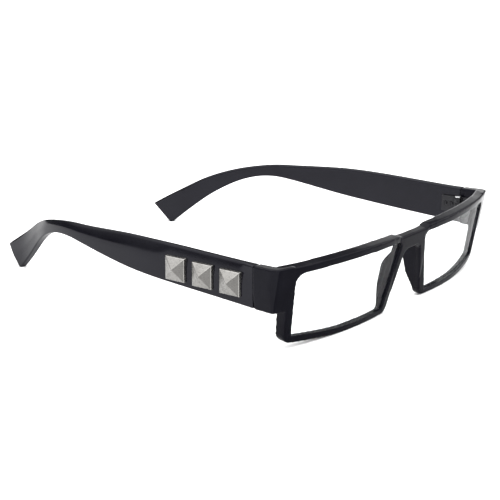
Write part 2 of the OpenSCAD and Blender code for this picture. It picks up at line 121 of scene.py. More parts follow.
class GlassesFrontSizes(PropertyGroup):
    """How the moulded front is rounded"""

    grain: length("Mesh grain", "Size of the rounded front's mesh faces", 0.24, 0.1, 1)
    rounding: IntProperty(name="Rounding", description="Passes that smooth its edges", default=12, min=0)
    fullness: length("Fullness", "How far its surface swells before its edges are rounded", 0.1, 0, 0.3)
    tilt: angle("Lean", "Lean of the rims' face", 9.8)
    thickness: length("Thickness", "Thickness of the rims from front to back", 3.5)
    curve_start: length("Curve's start", "Distance from the middle where the front starts to curve back", 21)
    curve_r: length("Curve's radius", "Radius of the front from above", 135)
    draft: factor("Draft", "How much each lens opening widens per unit of depth", 0.28)
    draft_reach: length("Draft's reach", "Distance from an opening over which the draft fades", 2)
    face_share: factor("Face", "How nearly a place must face forward to count as the rims' face", 0.8)


class GlassesTempleSizes(PropertyGroup):
    """Form of a temple: a straight part, an ear bend and a straight paddle"""

    seam_height: length("Seam height", "Height of the middle line at the seam", 20.096)
    seam_h: length("Height at the seam", "Height of the temple at the seam", 13.4)
    mid_h: length("Height midway", "Height midway along the straight part", 11.2)
    bend_h: length("Height at the bend", "Height at its narrowest, over the ear", 4.4)
    paddle_h: length("Height of the paddle", "Height halfway down the paddle", 7.1)
    tip_w: length("Width of the tip", "Width at the end of the paddle", 11)
    seam_t: length("Thickness at the seam", "Thickness at the seam", 3.4)
    tip_t: length("Thickness at the tip", "Thickness at the tip", 2.4)
    bend_at: length("Bend's place", "Distance from the seam to the bend's corner", 96.5)
    bend_r: length("Bend's radius", "Radius of the ear bend", 55)
    paddle_len: length("Paddle's length", "Length from the bend's corner to the tip", 37.8)
    rise: angle("Rise", "Rise of the straight part towards the ear", 2.95)
    drop: angle("Drop", "Slope of the paddle below the horizontal", 35.2)
    lean: angle("Lean", "Inward lean of the straight part, from above", 1.1)
    toe_in: length("Toe-in", "How far the tip lies inside the seam, from above", 24.8)
    straight: length("Straight part", "Length along which the temple is straight from above", 37.7)
    edge_r: length("Edge radius", "Radius of the upper long edges", 0.8, 0.1, 1.6)
    low_edge_r: length("Lower edge radius", "Radius of the lower long edges", 0.5, 0.1, 1.6)
    end_r: length("End radius", "Radius of the edges at the tip", 0.6, 0.1, 1.2)
    seam_r: length("Seam radius", "Radius of the edges at the seam", 0.25, 0.05, 0.6)
    slant: length("Slant of the tip", "How far the tip's upper corner reaches past its lower one", 2)
    slant_reach: length("Slant's reach", "Length of the paddle over which the slant grows", 16)
    stud_crown: factor("Crown at the studs", "Fall of the outer face's top edge, over half its height", 0.15)
    crown: factor("Crown", "The same midway between the studs and the bend", 0.27)
    bend_crown: factor("Crown over the ear", "The same at the bend", 0.36)
    paddle_crown: factor("Crown of the paddle", "The same on the paddle", 0.42)
    crown_limit: length("Crown's limit", "Greatest fall of the outer face", 1.2)


class GlassesStudSizes(PropertyGroup):
    """Form of a square pyramid stud"""

    width: length("Width", "Side of the square", 8)
    rim: length("Rim", "Height of the straight rim above the pocket's floor", 1.1)
    point: length("Point", "Height of the point above the rim", 1.65)
    reach: length("Reach", "From the pocket's floor to the outer limit of the stud's box", 3.1)
    draft: length("Draft", "How much the rim's walls lean in up to the facets, each side", 0.25)
    lip: length("Lip", "Width of the flat lip round the facets", 0.12)
    lip_rise: length("Rise of the lip", "How much the lip rises towards the facets", 0.04)
    edge_r: length("Edge radius", "Radius of its worn edges", 0.14, 0.02, 0.5)


class GlassesPlasticLook(PropertyGroup):
    """Glossy black moulded plastic"""

    tint: colour("Colour", "Near-black with a slight blue-violet cast", (0.0022, 0.0021, 0.0036))
    haze: colour("Dust and haze", "Colour of the faint haze on the gloss", (0.004, 0.004, 0.006))
    smooth: factor("Roughness, polished", "Roughness where it is polished", 0.07)
    worn: factor("Roughness, handled", "Roughness where it is handled", 0.16)
    scratched: factor("Roughness, scratched", "Roughness that fine scratches add", 0.06)
    cast: colour("Cast of the gloss", "Slightly blue cast of the gloss", (0.9, 0.9, 1))
    face_gloss: factor("Gloss of the rims", "Strength of the gloss on the rims' front face", 0.02)
    side_gloss: factor("Gloss of the sides", "Strength of the gloss on the front's sides and top", 0.08)
    temple_gloss: factor("Gloss of the temples", "Strength of the gloss on the temples", 0.5)
    temple_matt: factor("Dullness of the temples", "Share of their surface that fine wear has dulled", 0.62)


class GlassesMetalLook(PropertyGroup):
    """Satin nickel of the studs, with two darker copies of it that paint shade on their facets, and the dark
    coat of the hinges
    """

    nickel: colour("Nickel", "Bright part of the satin nickel", (0.28, 0.273, 0.262))
    # The next two nickels are painted shade: darker copies of the one nickel, put on facets by the way they
    # face
    shaded_nickel: colour("Nickel, painted shade", "Nickel of the rear and lower facets", (0.21, 0.205, 0.197))
    deep_shaded_nickel: colour("Nickel, painted deep shade", "Nickel of the front facets, painted deeper shade", (0.12, 0.117, 0.112))
    tarnish: colour("Tarnish", "Darker patches and scratches", (0.085, 0.082, 0.078))
    coat: colour("Hinge coat", "Dark coat of the hinge leaves", (0.02, 0.02, 0.022))
    screw: colour("Screw", "Bright steel of the hinge screws", (0.74, 0.74, 0.75))


class GlassesLensLook(PropertyGroup):
    """Clear polished lens"""

    clear: colour("Clear", "Faint tint of the clear lens", (0.975, 0.985, 0.985))
    straight: factor("Reflection, straight", "Share reflected where the lens is seen straight on", 0.01)
    grazing: factor("Reflection, grazing", "Share reflected where the lens is seen at a grazing angle", 0.32)


class GlassesStageSettings(PropertyGroup):
    """The photograph's view and the studio round the glasses"""

    camera_place: FloatVectorProperty(
        name="Camera",
        description="Where the camera stands",
        default=(-0.36381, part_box("front_frame")[0][1] - 0.19691, 0.13111),
        size=3,
        precision=5,
        subtype="XYZ",
    )
    azimuth: angle("Azimuth", "Direction of the camera round the glasses", -53.936)
    elevation: angle("Elevation", "Height of the camera over the floor, as an angle", 15.241)
    roll: angle("Roll", "Tilt of the picture", 0.177)
    lens: FloatProperty(name="Focal length", description="Focal length in millimetres", default=92.65)
    floor: colour("Floor", "Colour of the floor", (0.93, 0.93, 0.93))
    dim: light("Room light", "Light of the room near the horizon", 0.2)
    overhead: light("Overhead light", "Light of the room overhead", 2.5)
    backdrop: light("Backdrop", "Light of the backdrop behind", 1.2)
    fill: light("Fill light", "Light of the room in front", 2.1)
    softbox: light("Softbox", "Power of the softbox overhead", 6, "POWER")
    side_softbox: light("Side softbox", "Power of the small softbox beside", 0.03, "POWER")


# Mesh helpers


def new_object(name, bm, *materials):
    """Object with a mesh's faces turned outwards and shaded smoothly."""
    bmesh.ops.recalc_face_normals(bm, faces=bm.faces)
    mesh = bpy.data.meshes.new(name)
    bm.to_mesh(mesh)
    bm.free()
    for face in mesh.polygons:
        face.use_smooth = True
    for material in materials:
        mesh.materials.append(material)
    obj = bpy.data.objects.new(name, mesh)
    bpy.context.scene.collection.objects.link(obj)
    return obj


def dress(node, material):
    """Gives a CAD node one material in place of its own."""
    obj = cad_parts[node]
    obj.data.materials.clear()
    obj.data.materials.append(material)
    return obj


def smooth_edges(obj, degrees=35, weight=60):
    """Shades the faces smoothly, except across edges sharper than an angle."""
    modifier = obj.modifiers.new("Weighted normals", "WEIGHTED_NORMAL")
    modifier.keep_sharp = True
    modifier.weight = weight
    obj.data.set_sharp_from_angle(angle=math.radians(degrees))


def wear_edges(obj, width, segments, degrees):
    """Rounds the edges sharper than an angle."""
    bevel = obj.modifiers.new("Worn edges", "BEVEL")
    bevel.width = width
    bevel.segments = segments
    bevel.limit_method = "ANGLE"
    bevel.angle_limit = math.radians(degrees)
    return bevel


# Materials


class Nodes:
    """Small helper that adds and links shader nodes."""

    def __init__(self, name):
        self.material = bpy.data.materials.new(name)
        self.material.use_nodes = True
        self.tree = self.material.node_tree
        self.tree.nodes.clear()
        self.output = self.add("ShaderNodeOutputMaterial")

    def add(self, kind, **values):
        """New node with its settings."""
        node = self.tree.nodes.new(kind)
        for key, value in values.items():
            setattr(node, key, value)
        return node

    def link(self, source, target):
        self.tree.links.new(source, target)

    def place(self, scale=(1, 1, 1)):
        """Object coordinates in millimetres, stretched by scale."""
        texture = self.add("ShaderNodeTexCoord")
        mapping = self.add("ShaderNodeMapping")
        mapping.inputs["Scale"].default_value = [s / MM for s in scale]
        self.link(texture.outputs["Object"], mapping.inputs["Vector"])
        return mapping.outputs["Vector"]

    def noise(self, place, scale, detail=4, roughness=0.55):
        """Noise from 0 to 1, with a number of grains per millimetre."""
        noise = self.add("ShaderNodeTexNoise")
        noise.inputs["Scale"].default_value = scale
        noise.inputs["Detail"].default_value = detail
        noise.inputs["Roughness"].default_value = roughness
        self.link(place, noise.inputs["Vector"])
        return noise.outputs["Fac"]

    def ramp(self, source, low, high, start=0.0, end=1.0):
        """Takes the source from start..end to low..high and holds it inside them."""
        node = self.add("ShaderNodeMapRange")
        node.inputs["From Min"].default_value = start
        node.inputs["From Max"].default_value = end
        node.inputs["To Min"].default_value = low
        node.inputs["To Max"].default_value = high
        self.link(source, node.inputs["Value"])
        return node.outputs["Result"]

    def mix(self, share, first, second):
        """Colour that goes from the first to the second as the share grows."""
        node = self.add("ShaderNodeMix", data_type="RGBA")
        self.link(share, node.inputs["Factor"])
        for value, socket in ((first, node.inputs[6]), (second, node.inputs[7])):
            if hasattr(value, "is_linked"):
                self.link(value, socket)
            else:
                socket.default_value = (*value, 1)
        return node.outputs[2]

    def bump(self, height, depth_mm, strength=1.0, below=None):
        """Relief of a depth, laid over the relief below it."""
        node = self.add("ShaderNodeBump")
        node.inputs["Distance"].default_value = depth_mm * MM
        node.inputs["Strength"].default_value = strength
        self.link(height, node.inputs["Height"])
        if below:
            self.link(below, node.inputs["Normal"])
        return node.outputs["Normal"]

    def principled(self, **sockets):
        """Principled surface. A keyword is a socket's name with _ for its spaces."""
        shader = self.add("ShaderNodeBsdfPrincipled")
        for key, value in sockets.items():
            socket = shader.inputs[key.replace("_", " ")]
            if hasattr(value, "is_linked"):
                self.link(value, socket)
            else:
                socket.default_value = (*value, 1) if socket.type == "RGBA" else value
        return shader

    def finish(self, shader):
        """Gives the material its surface."""
        self.link(shader.outputs[0], self.output.inputs["Surface"])
        return self.material


def plastic_material(look, name, gloss, matt=0.0):
    """Black plastic with handled patches, fine long scratches and a slight swell of its moulded surface."""
    nodes = Nodes(name)
    place = nodes.place()
    handled = nodes.noise(place, scale=0.07, detail=3)
    scratches = nodes.noise(nodes.place(scale=(0.9, 0.12, 3.0)), scale=1.2, detail=5, roughness=0.7)
    tint = nodes.mix(nodes.ramp(handled, 0, 1, start=0.35, end=0.75), look.tint, look.haze)
    roughness = nodes.add("ShaderNodeMath", operation="ADD", use_clamp=True)
    nodes.link(nodes.ramp(handled, look.smooth, look.worn, start=0.3, end=0.8), roughness.inputs[0])
    nodes.link(nodes.ramp(scratches, 0, look.scratched, start=0.55, end=0.75), roughness.inputs[1])
    swell = nodes.bump(nodes.noise(place, scale=0.2, detail=2), depth_mm=0.05, strength=0.2)
    grain = nodes.bump(nodes.noise(place, scale=1.6, detail=4), depth_mm=0.004, strength=0.2, below=swell)
    shader = nodes.principled(Base_Color=tint, Roughness=roughness.outputs[0], Normal=grain)
    shader.inputs["IOR"].default_value = PLASTIC_IOR
    shader.inputs["Specular IOR Level"].default_value = gloss
    shader.inputs["Specular Tint"].default_value = (*look.cast, 1)
    if not matt:
        return nodes.finish(shader)
    dull = nodes.add("ShaderNodeBsdfDiffuse")
    nodes.link(tint, dull.inputs["Color"])
    satin = nodes.add("ShaderNodeMixShader")
    satin.inputs[0].default_value = matt
    nodes.link(shader.outputs[0], satin.inputs[1])
    nodes.link(dull.outputs[0], satin.inputs[2])
    return nodes.finish(satin)


def nickel_material(name, tint, look):
    """Satin nickel with tarnish in its scratches and in patches."""
    nodes = Nodes(name)
    place = nodes.place()
    patches = nodes.noise(place, scale=0.4, detail=3)
    scratches = nodes.noise(nodes.place(scale=(1.0, 0.6, 2.6)), scale=1.7, detail=6, roughness=0.72)
    grain = nodes.noise(place, scale=9.0, detail=3)
    tint = nodes.mix(nodes.ramp(scratches, 0, 0.7, start=0.5, end=0.72), tint, look.tarnish)
    tint = nodes.mix(nodes.ramp(patches, 0, 0.45, start=0.45, end=0.8), tint, look.tarnish)
    rough = nodes.ramp(scratches, 0.2, 0.38, start=0.35, end=0.7)
    scored = nodes.bump(scratches, depth_mm=0.03, strength=0.4)
    relief = nodes.bump(grain, depth_mm=0.01, strength=0.35, below=scored)
    return nodes.finish(nodes.principled(Base_Color=tint, Roughness=rough, Normal=relief, Metallic=1.0))


def hinge_material(look):
    """Dark coat that is worn through to tarnished metal in places."""
    nodes = Nodes("Black-coated hinge metal")
    place = nodes.place()
    wear = nodes.noise(place, scale=1.4, detail=5, roughness=0.65)
    tint = nodes.mix(nodes.ramp(wear, 0, 0.5, start=0.6, end=0.8), look.coat, look.tarnish)
    rough = nodes.ramp(wear, 0.26, 0.42)
    relief = nodes.bump(nodes.noise(place, scale=7.0, detail=3), depth_mm=0.006, strength=0.3)
    return nodes.finish(nodes.principled(Base_Color=tint, Roughness=rough, Normal=relief, Metallic=0.85))


def screw_material(look):
    """Turned steel with fine lines round the screw."""
    nodes = Nodes("Bright screw steel")
    place = nodes.place()
    lines = nodes.noise(nodes.place(scale=(1, 1, 6)), scale=3.0, detail=4)
    tint = nodes.mix(nodes.ramp(lines, 0, 0.5, start=0.5, end=0.8), look.screw, look.tarnish)
    rough = nodes.ramp(lines, 0.16, 0.32)
    relief = nodes.bump(nodes.noise(place, scale=6.0, detail=3), depth_mm=0.006, strength=0.25)
    return nodes.finish(nodes.principled(Base_Color=tint, Roughness=rough, Normal=relief, Metallic=1.0))


def lens_material(look):
    """Clear lens: what lies behind it, with the reflection of a polished surface that has faint smears."""
    nodes = Nodes("Clear lens")
    place = nodes.place()
    smears = nodes.noise(nodes.place(scale=(0.5, 0.5, 1.4)), scale=0.22, detail=4)
    clear = nodes.add("ShaderNodeBsdfTransparent")
    clear.inputs["Color"].default_value = (*look.clear, 1)
    gloss = nodes.add("ShaderNodeBsdfGlossy")
    nodes.link(nodes.ramp(smears, 0.015, 0.09, start=0.4, end=0.75), gloss.inputs["Roughness"])
    ripple = nodes.bump(nodes.noise(place, scale=0.05, detail=1), depth_mm=0.02, strength=0.1)
    nodes.link(ripple, gloss.inputs["Normal"])
    facing = nodes.add("ShaderNodeLayerWeight")
    grazing = nodes.add("ShaderNodeMath", operation="POWER")
    grazing.inputs[1].default_value = GRAZING_POWER
    nodes.link(facing.outputs["Facing"], grazing.inputs[0])
    lens = nodes.add("ShaderNodeMixShader")
    nodes.link(nodes.ramp(grazing.outputs[0], look.straight, look.grazing), lens.inputs[0])
    nodes.link(clear.outputs[0], lens.inputs[1])
    nodes.link(gloss.outputs[0], lens.inputs[2])
    return nodes.finish(lens)


def floor_material(tint, shade=0.985):
    """Matt white paper with faint clouds."""
    nodes = Nodes("Pale floor")
    place = nodes.place()
    cloud = nodes.noise(place, scale=0.004, detail=2)
    white = nodes.mix(nodes.ramp(cloud, 0, 1, start=0.3, end=0.7), tint, [shade * c for c in tint])
    return nodes.finish(nodes.principled(Base_Color=white, Roughness=0.85))


# Form of a temple


def unit(direction):
    """A direction, made one long."""
    return direction / direction.length


def smooth_curve(points, direction, spans):
    """Smooth curve through points, which leaves the first one along a direction."""

    def heading(i):
        if i == 0:
            return unit(Vector(direction))
        if i == len(points) - 1:
            return unit(points[i] - points[i - 1])
        return unit(points[i + 1] - points[i - 1])

    out = []
    for i in range(len(points) - 1):
        start, end = points[i], points[i + 1]
        leaving, arriving = heading(i), heading(i + 1)
        reach = (end - start).length
        for j in range(spans):
            t = j / spans
            out.append(
                (2 * t**3 - 3 * t**2 + 1) * start
                + (t**3 - 2 * t**2 + t) * reach * leaving
                + (3 * t**2 - 2 * t**3) * end
                + (t**3 - t**2) * reach * arriving
            )
    return out + [points[-1]]


def along(path, x):
    """Height of a path of (x, height) points at x."""
    for a, b in zip(path, path[1:]):
        if x <= b.x:
            return a.y + (b.y - a.y) * (x - a.x) / (b.x - a.x)
    return path[-1].y


class TempleForm:
    """The left temple's surface, from its middle line in side view and its outer face in plan."""

    # Where the heights apply, as shares of the length up to the bend's corner
    MIDWAY_AT = 0.49
    NARROW_AT = 0.896
    # Where the paddle's height applies, as a share of the way from the narrowest place to the tip
    PADDLE_AT = 0.54
    # Slope of the half heights as they leave the seam
    TAPER = -0.03
    # Outer face from above, as shares of the temple's reach and of its toe-in
    WRAP = ((0.475, 0.115), (0.629, 0.26), (0.744, 0.475), (0.844, 0.755), (0.92, 0.915), (1.012, 1.01))
    # Where the crowns apply, as shares of the length up to the bend's corner
    STUDS_FROM = 0.05
    STUDS_TO = 0.34
    BEHIND_STUDS = 0.4
    CROWN_AT = 0.7
    EAR_AT = 0.88
    PADDLE_FROM = 1.02
    # Crown just behind the studs, as a share of the crown midway
    BEHIND_STUDS_CROWN = 0.72
    # Height where the crown starts, as a share of the half height, and how it grows from there
    CROWN_START = -0.1
    CROWN_POWER = 1.5
    # Limits of the edges' radii: a share of the thickness, and the least one
    EDGE_SHARE = 0.4
    LEAST_EDGE = 0.05 * MM
    # How far the plan reaches before the seam, and the sections take as far behind it to turn from upright
    LEAD = 10 * MM
    # The plan's slope at a place is measured this far to both sides
    SLOPE_STEP = 1.5 * MM
    # Faces round a long edge, across a side, round an end's edge, along the temple and in a piece of curve
    EDGE_FACES = 5
    SIDE_FACES = 14
    END_FACES = 4
    LONG_FACES = 150
    CURVE_SPANS = 16

    def __init__(self, sizes, node):
        low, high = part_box(node)
        self.sizes = sizes
        self.seam_y = low[1]
        self.seam_x = high[0]
        bend = sizes.rise + sizes.drop
        cut = sizes.bend_r * math.tan(bend / 2)
        self.bend = bend
        self.arc = sizes.bend_r * bend
        self.straight = sizes.bend_at - cut
        self.length = self.straight + self.arc + sizes.paddle_len - cut
        narrow = self.NARROW_AT * sizes.bend_at
        paddle_at = (1 - self.PADDLE_AT) * narrow + self.PADDLE_AT * self.length
        self.half_heights = smooth_curve(
            [
                Vector((0, sizes.seam_h / 2)),
                Vector((self.MIDWAY_AT * sizes.bend_at, sizes.mid_h / 2)),
                Vector((narrow, sizes.bend_h / 2)),
                Vector((paddle_at, sizes.paddle_h / 2)),
                Vector((self.length, sizes.tip_w / 2)),
            ],
            (1, self.TAPER),
            self.CURVE_SPANS,
        )
        end = self.side_point(self.length, sizes.tip_w / 2)
        self.reach = end.x - self.seam_y
        lean = Vector((math.cos(sizes.lean), -math.sin(sizes.lean)))
        start = Vector((sizes.straight, -sizes.straight * math.tan(sizes.lean)))
        plan = [start] + [Vector((y * self.reach, -x * sizes.toe_in)) for y, x in self.WRAP]
        before = Vector((-self.LEAD, self.LEAD * math.tan(sizes.lean)))
        self.outer = [before] + smooth_curve(plan, lean, self.CURVE_SPANS)

    def slope(self, s):
        """Slope of the middle line at the length s from the seam."""
        return self.sizes.rise - self.bend * min(1, max(0, (s - self.straight) / self.arc))

    def middle(self, s):
        """Point of the middle line in side view: straight, then an arc, then straight."""
        rise, slope, r = self.sizes.rise, self.slope(s), self.sizes.bend_r
        before, beyond = min(s, self.straight), max(0, s - self.straight - self.arc)
        y = before * math.cos(rise) + r * (math.sin(rise) - math.sin(slope)) + beyond * math.cos(slope)
        z = before * math.sin(rise) + r * (math.cos(slope) - math.cos(rise)) + beyond * math.sin(slope)
        return Vector((self.seam_y + y, self.sizes.seam_height + z))

    def side_point(self, s, up):
        """Point at the height up over the middle line. Sections stand upright at the seam."""
        tilt = self.slope(s) * min(1, s / self.LEAD)
        return self.middle(s) + up * Vector((-math.sin(tilt), math.cos(tilt)))

    def point(self, s, up, depth):
        """Point at the height up over the middle line and the depth in from the outer face."""
        y, z = self.side_point(s, up)
        back, step = y - self.seam_y, self.SLOPE_STEP
        here = along(self.outer, back)
        slope = (along(self.outer, back + step) - along(self.outer, back - step)) / (2 * step)
        out = Vector((1, -slope)).normalized()
        return Vector((self.seam_x + here - depth * out.x, y - depth * out.y, z))

    def thickness(self, s):
        """Thickness at the length s, which changes evenly from the seam to the tip."""
        y = self.middle(s).x - self.seam_y
        return self.sizes.seam_t + (self.sizes.tip_t - self.sizes.seam_t) * y / self.reach

    def fall(self, s):
        """How far the outer face falls back at its top edge."""
        sizes = self.sizes
        crowns = (
            (0, 0),
            (self.STUDS_FROM, sizes.stud_crown),
            (self.STUDS_TO, sizes.stud_crown),
            (self.BEHIND_STUDS, self.BEHIND_STUDS_CROWN * sizes.crown),
            (self.CROWN_AT, sizes.crown),
            (self.EAR_AT, sizes.bend_crown),
            (self.PADDLE_FROM, sizes.paddle_crown),
        )
        line = [Vector((share * sizes.bend_at, crown)) for share, crown in crowns]
        return min(sizes.crown_limit, along(line, s) * along(self.half_heights, s))

    def ring(self, half, thick, inset):
        """Section with rounded corners: depth in from the outer face, and height over the middle line."""
        top_r, low_r = (
            max(min(size, self.EDGE_SHARE * thick) - inset, self.LEAST_EDGE)
            for size in (self.sizes.edge_r, self.sizes.low_edge_r)
        )
        low, high = inset, thick - inset
        arcs = []
        corners = ((1, high, 0, top_r), (1, low, 90, top_r), (-1, low, 180, low_r), (-1, high, 270, low_r))
        for up, depth, start, r in corners:
            centre = Vector((depth - r if depth == high else depth + r, up * (half - r)))
            turns = [math.radians(start + 90 * i / self.EDGE_FACES) for i in range(self.EDGE_FACES + 1)]
            arcs.append([centre + r * Vector((math.cos(turn), math.sin(turn))) for turn in turns])
        out = []
        for arc, following in ((arcs[0], None), (arcs[1], arcs[2]), (arcs[2], None), (arcs[3], arcs[0])):
            out += arc
            if following:
                out += [arc[-1].lerp(following[0], i / self.SIDE_FACES) for i in range(1, self.SIDE_FACES)]
        return out

    def section(self, s, inset=0.0):
        """Ring of points round the temple at s, drawn in by inset, with the crown and the tip's slant."""
        half = along(self.half_heights, s) - inset
        thick = self.thickness(s)
        fall = self.fall(s)
        slant_from = self.length - self.sizes.slant_reach
        slant = self.sizes.slant * max(0, (s - slant_from) / self.sizes.slant_reach) ** 2
        out = []
        for place in self.ring(half, thick, inset):
            up = place.y / half
            outer_share = max(0, 1 - 2 * place.x / thick)
            grown = max(0, (up - self.CROWN_START) / (1 - self.CROWN_START)) ** self.CROWN_POWER
            out.append(self.point(s + slant * up / 2, place.y, place.x + fall * outer_share * grown))
        return out

    def build(self):
        """Lofts the sections from the seam to the tip and cuts the tip level with the table."""
        bm = bmesh.new()
        seam_r, end_r = self.sizes.seam_r, self.sizes.end_r
        end = self.length - end_r
        span = end - seam_r
        quarter = [math.radians(90 * i / self.END_FACES) for i in range(self.END_FACES + 1)]
        stations = [(seam_r - seam_r * math.cos(t), seam_r - seam_r * math.sin(t)) for t in quarter]
        stations += [(seam_r + span * i / self.LONG_FACES, 0.0) for i in range(1, self.LONG_FACES)]
        stations += [(end + end_r * math.sin(t), end_r - end_r * math.cos(t)) for t in quarter]
        rings = [[bm.verts.new(p) for p in self.section(s, inset)] for s, inset in stations]
        for a, b in zip(rings, rings[1:]):
            for i in range(len(a)):
                j = (i + 1) % len(a)
                bm.faces.new((a[i], a[j], b[j], b[i]))
        bm.faces.new(rings[0])
        bm.faces.new(list(reversed(rings[-1])))
        everything = bm.verts[:] + bm.edges[:] + bm.faces[:]
        bmesh.ops.bisect_plane(bm, geom=everything, plane_co=(0, 0, 0), plane_no=(0, 0, -1), clear_outer=True)
        bmesh.ops.holes_fill(bm, edges=[edge for edge in bm.edges if edge.is_boundary])
        return bm


def mirrored(bm):
    """The same mesh for the other side."""
    for vert in bm.verts:
        vert.co.x = -vert.co.x
    bmesh.ops.reverse_faces(bm, faces=bm.faces)
    return bm


# Forms of the front and the studs


def rounded_front(context, sizes):
    """The front's solid as an even mesh that is swollen slightly and smoothed."""
    blank = bpy.data.objects.new("blank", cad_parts["front_frame"].data.copy())
    context.scene.collection.objects.link(blank)
    blank.modifiers.new("Weld", "WELD").merge_threshold = WELD
    remesh = blank.modifiers.new("Even mesh", "REMESH")
    remesh.mode = "VOXEL"
    remesh.voxel_size = sizes.grain
    swell = blank.modifiers.new("Fullness", "DISPLACE")
    swell.strength = sizes.fullness
    swell.mid_level = 0
    rounding = blank.modifiers.new("Rounding", "SMOOTH")
    rounding.iterations = sizes.rounding
    mesh = bpy.data.meshes.new_from_object(blank.evaluated_get(context.evaluated_depsgraph_get()))
    bpy.data.objects.remove(blank)
    mesh.name = "moulded_front"
    return mesh


def draft_openings(mesh, sizes, forward):
    """Widens the lens openings towards the back, but not beside the nose."""
    # A wall stands edge on to the front, between these depths, and doesn't face away from the nose
    edge_on = 0.4
    nose_side = 0.7
    wall_from, wall_to = 0.2 * MM, 0.95 * sizes.thickness

    def behind(place):
        """Distance of a place behind the curved face, but for a constant."""
        turn = max(0, abs(place.x) - sizes.curve_start)
        return -place.dot(forward) - sizes.curve_r + math.sqrt(sizes.curve_r**2 - turn**2)

    face = min(behind(vert.co) for vert in mesh.vertices)
    depths = [min(behind(vert.co) - face, sizes.thickness) for vert in mesh.vertices]
    walls = []
    for sign, side in SIDES.items():
        low, high = (Vector(corner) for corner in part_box(f"lens_{side}"))
        for vert, depth in zip(mesh.vertices, depths):
            inside = low.x < vert.co.x < high.x and low.z < vert.co.z < high.z
            is_wall = abs(vert.normal.dot(forward)) <= edge_on and wall_from < depth < wall_to
            faces_lens = vert.normal.dot((low + high) / 2 - vert.co) > 0
            if inside and is_wall and faces_lens and vert.normal.x * sign < nose_side:
                walls.append(vert)
    if not walls:
        raise RuntimeError("the front has no lens openings to draft")
    tree = KDTree(len(walls))
    for i, vert in enumerate(walls):
        tree.insert(vert.co, i)
    tree.balance()
    moves = []
    for vert, depth in zip(mesh.vertices, depths):
        _, i, distance = tree.find(vert.co)
        share = max(0, 1 - distance / sizes.draft_reach)
        moves.append(-sizes.draft * max(0, depth) * share * walls[i].normal)
    for vert, move in zip(mesh.vertices, moves):
        vert.co += move


def pyramid(sizes):
    """A stud that faces +X, with its underside at x = 0."""
    bm = bmesh.new()
    base, top = sizes.width / 2, sizes.width / 2 - sizes.draft
    rings = []
    for x, half in ((0, base), (sizes.rim, top), (sizes.rim + sizes.lip_rise, top - sizes.lip)):
        corners = ((-half, -half), (half, -half), (half, half), (-half, half))
        rings.append([bm.verts.new((x, y, z)) for y, z in corners])
    tip = bm.verts.new((sizes.rim + sizes.point, 0, 0))
    bm.faces.new(rings[0])
    for a, b in zip(rings, rings[1:]):
        for i in range(4):
            bm.faces.new((a[i], a[(i + 1) % 4], b[(i + 1) % 4], b[i]))
    # Each facet takes plain nickel or a darker copy of it as painted shade: the lower and rear facets painted
    # shade, the front facet deeper painted shade, the upper facet plain
    for i, finish in enumerate(FACET_PAINTED_SHADES):
        facet = bm.faces.new((rings[-1][i], rings[-1][(i + 1) % 4], tip))
        facet.material_index = finish
    return bm


# Stage


def add_softbox(name, place, target, width, power):
    """Square lamp that shines from a place at a target."""
    data = bpy.data.lights.new(name, "AREA")
    data.shape = "RECTANGLE"
    data.size, data.size_y = width, width
    data.energy = power
    obj = bpy.data.objects.new(name, data)
    obj.visible_camera = False
    aim = Vector(target) - Vector(place)
    obj.matrix_world = Matrix.Translation(place) @ aim.to_track_quat("-Z", "Y").to_matrix().to_4x4()
    bpy.context.scene.collection.objects.link(obj)


def studio_world(settings):
    """White room whose light depends on the direction: bright overhead, behind and in front."""
    world = bpy.data.worlds.new("Studio")
    world.use_nodes = True
    tree = world.node_tree
    way = tree.nodes.new("ShaderNodeTexCoord").outputs["Generated"]

    def glow(towards, start, end, low, high):
        """Light that grows from low to high as a ray turns towards a direction."""
        dot = tree.nodes.new("ShaderNodeVectorMath")
        dot.operation = "DOT_PRODUCT"
        dot.inputs[1].default_value = towards
        tree.links.new(way, dot.inputs[0])
        share = tree.nodes.new("ShaderNodeMapRange")
        share.interpolation_type = "SMOOTHSTEP"
        for name, value in zip(("From Min", "From Max", "To Min", "To Max"), (start, end, low, high)):
            share.inputs[name].default_value = value
        tree.links.new(dot.outputs["Value"], share.inputs["Value"])
        return share.outputs["Result"]

    glows = (
        glow(towards=(-0.5, 0.2, 0.84), start=0.45, end=0.85, low=settings.dim, high=settings.overhead),
        glow(towards=(0.81, 0.585, 0), start=0.93, end=0.995, low=0, high=settings.backdrop),
        glow(towards=(0.25, -0.9, 0.35), start=0.1, end=0.8, low=0, high=settings.fill),
    )
    total = glows[0]
    for part in glows[1:]:
        both = tree.nodes.new("ShaderNodeMath")
        tree.links.new(total, both.inputs[0])
        tree.links.new(part, both.inputs[1])
        total = both.outputs[0]
    tree.links.new(total, tree.nodes["Background"].inputs["Strength"])
    tree.nodes["Background"].inputs["Color"].default_value = (1, 1, 1, 1)
    return world


def photograph_camera(settings):
    """Camera that sees the glasses as the photograph does."""
    data = bpy.data.cameras.new("Photograph")
    data.sensor_width = FILM_WIDTH_MM
    data.lens = settings.lens
    data.clip_start, data.clip_end = 0.01, 20
    camera = bpy.data.objects.new("Photograph", data)
    a, e = settings.azimuth, settings.elevation
    back = Vector((math.sin(a) * math.cos(e), -math.cos(a) * math.cos(e), math.sin(e)))
    right = Vector((0, 0, 1)).cross(back).normalized()
    up = back.cross(right)
    turn = Matrix((right, up, back)).transposed() @ Matrix.Rotation(settings.roll, 3, "Z")
    camera.matrix_world = Matrix.Translation(settings.camera_place) @ turn.to_4x4()
    return camera


# Operators


